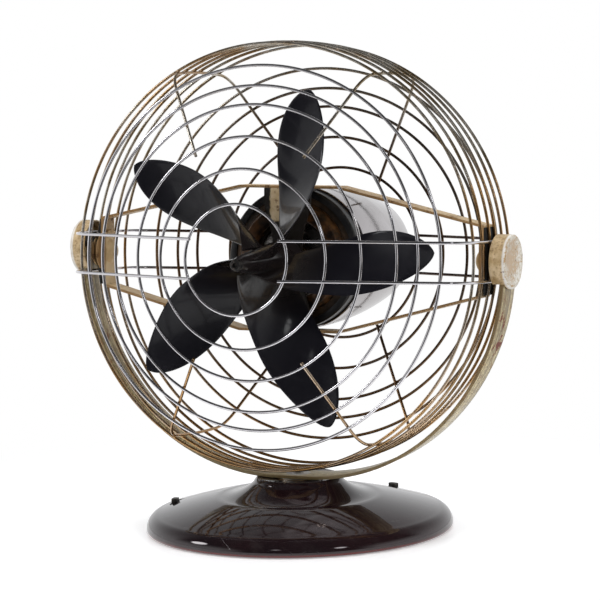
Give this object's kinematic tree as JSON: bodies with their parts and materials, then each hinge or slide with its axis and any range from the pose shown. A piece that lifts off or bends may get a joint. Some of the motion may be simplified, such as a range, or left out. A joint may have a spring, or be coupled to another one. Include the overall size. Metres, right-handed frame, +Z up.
{
  "type": "electric desk fan",
  "caption": "Desk fan with a round moulded base, a swivelling U-shaped yoke, a tilting wire cage, a bullet-shaped motor on two flat straps and a rubber propeller.",
  "frame": {"origin": "middle of the base's underside, on the table", "axes": "+Z up, +X to the right seen from the propeller side, propeller faces -Y, motor tail points to +Y; the cage is tipped 5.4 degrees up at the front"},
  "size_m": [0.3544, 0.2799, 0.371],
  "materials": {
    "base_moulding": "polished phenolic moulding, very dark maroon brown, faint swirl and hairline scratches",
    "base_plate_steel": "dull black paint over pressed steel",
    "base_felt": "thin pressed wool felt, dull red brown",
    "grommet_rubber": "matt black moulded rubber",
    "pad_rubber": "matt black rubber, slightly dusty",
    "switch_body": "dark brown phenolic block",
    "lever_steel": "blackened steel, bare at the tab",
    "bearing_bronze": "oil-stained sintered bronze",
    "swivel_steel": "zinc plated steel, dulled",
    "yoke_enamel": "champagne enamel, lengthwise streaks, rust specks and worn edges",
    "cap_enamel": "tan gold enamel with a worn pale rim",
    "strap_enamel": "tan gold enamel with rust at the bends",
    "stud_steel": "tan gold enamel over steel",
    "front_wire_chrome": "bright plated wire with a few dull spots",
    "rim_wire_plated": "old plated wire, tarnished brown gold in patches",
    "bell_chrome": "spun and plated shell, bright, with fine pits",
    "motor_black": "black enamel, dusty inside",
    "lamination_steel": "varnished laminations with a brown film",
    "winding_enamel": "varnished copper winding with brown tape",
    "propeller_rubber": "moulded black rubber with a satin skin",
    "nose_metal": "blackened steel button",
    "rotor_steel": "ground steel"
  },
  "bodies": {
    "base": {"base_shell": "base_moulding", "base_plate": "base_plate_steel", "base_pad": "base_felt", "cord_grommet": "grommet_rubber", "switch_speed": "switch_body", "switch_power": "switch_body", "neck_bushing": "bearing_bronze"},
    "lever_speed": {"lever_speed": "lever_steel"},
    "lever_power": {"lever_power": "lever_steel"},
    "yoke": {"yoke_band": "yoke_enamel", "swivel_washer": "swivel_steel", "swivel_stem": "swivel_steel", "swivel_nut": "swivel_steel", "pivot_cap_right": "cap_enamel", "pivot_cap_left": "cap_enamel"},
    "cage": {"guard_back_ring_1": "rim_wire_plated", "guard_back_ring_2": "rim_wire_plated", "guard_back_ring_3": "rim_wire_plated", "guard_back_ring_4": "rim_wire_plated", "guard_back_ring_5": "rim_wire_plated", "guard_cross_rib_left_lower": "rim_wire_plated", "guard_cross_rib_left_upper": "rim_wire_plated", "guard_cross_rib_right_lower": "rim_wire_plated", "guard_cross_rib_right_upper": "rim_wire_plated", "guard_front_ring_1": "front_wire_chrome", "guard_front_ring_2": "front_wire_chrome", "guard_front_ring_3": "front_wire_chrome", "guard_front_ring_4": "front_wire_chrome", "guard_front_ring_5": "front_wire_chrome", "guard_front_ring_6": "front_wire_chrome", "guard_rim_ring_1": "rim_wire_plated", "guard_rim_ring_2": "rim_wire_plated", "guard_rim_ring_3": "rim_wire_plated", "guard_rim_ring_4": "rim_wire_plated", "guard_rim_ring_5": "rim_wire_plated", "guard_rim_ring_6": "rim_wire_plated", "guard_side_rib_left_lower": "front_wire_chrome", "guard_side_rib_left_upper": "front_wire_chrome", "guard_side_rib_right_lower": "front_wire_chrome", "guard_side_rib_right_upper": "front_wire_chrome", "motor_bell": "bell_chrome", "motor_bridge": "strap_enamel", "motor_coil": "winding_enamel", "motor_front_bearing": "bearing_bronze", "motor_front_ring": "motor_black", "motor_rear_plate": "motor_black", "motor_stator": "lamination_steel", "pivot_pad_left": "pad_rubber", "pivot_pad_right": "pad_rubber", "pivot_spacer_left": "stud_steel", "pivot_spacer_right": "stud_steel", "pivot_stud_left": "stud_steel", "pivot_stud_right": "stud_steel", "strap_lower": "strap_enamel", "strap_upper": "strap_enamel"},
    "fan": {"propeller": "propeller_rubber", "propeller_nose": "nose_metal", "rotor_and_shaft": "rotor_steel"}
  },
  "joints": [
    {"name": "yoke_swivel", "type": "hinge", "parent": "base", "child": "yoke", "pos_m": [0, 0, 0.0398], "axis": [0, 0, 1], "range_deg": [-170, 170]},
    {"name": "cage_tilt", "type": "hinge", "parent": "yoke", "child": "cage", "pos_m": [0, 0, 0.208], "axis": [1, 0, 0], "range_deg": [-54.6, 95.4]},
    {"name": "fan_spin", "type": "hinge", "parent": "cage", "child": "fan", "pos_m": [0, -0.00014, 0.2062], "axis": [0, -0.9972, 0.075], "continuous": true},
    {"name": "speed_lever", "type": "hinge", "parent": "base", "child": "lever_speed", "pos_m": [-0.07295, -0.00896, 0.0096], "axis": [0, 0, 1], "range_deg": [-14, 14]},
    {"name": "power_lever", "type": "hinge", "parent": "base", "child": "lever_power", "pos_m": [0.0299, 0.06715, 0.0096], "axis": [0, 0, 1], "range_deg": [-14, 14]}
  ]
}
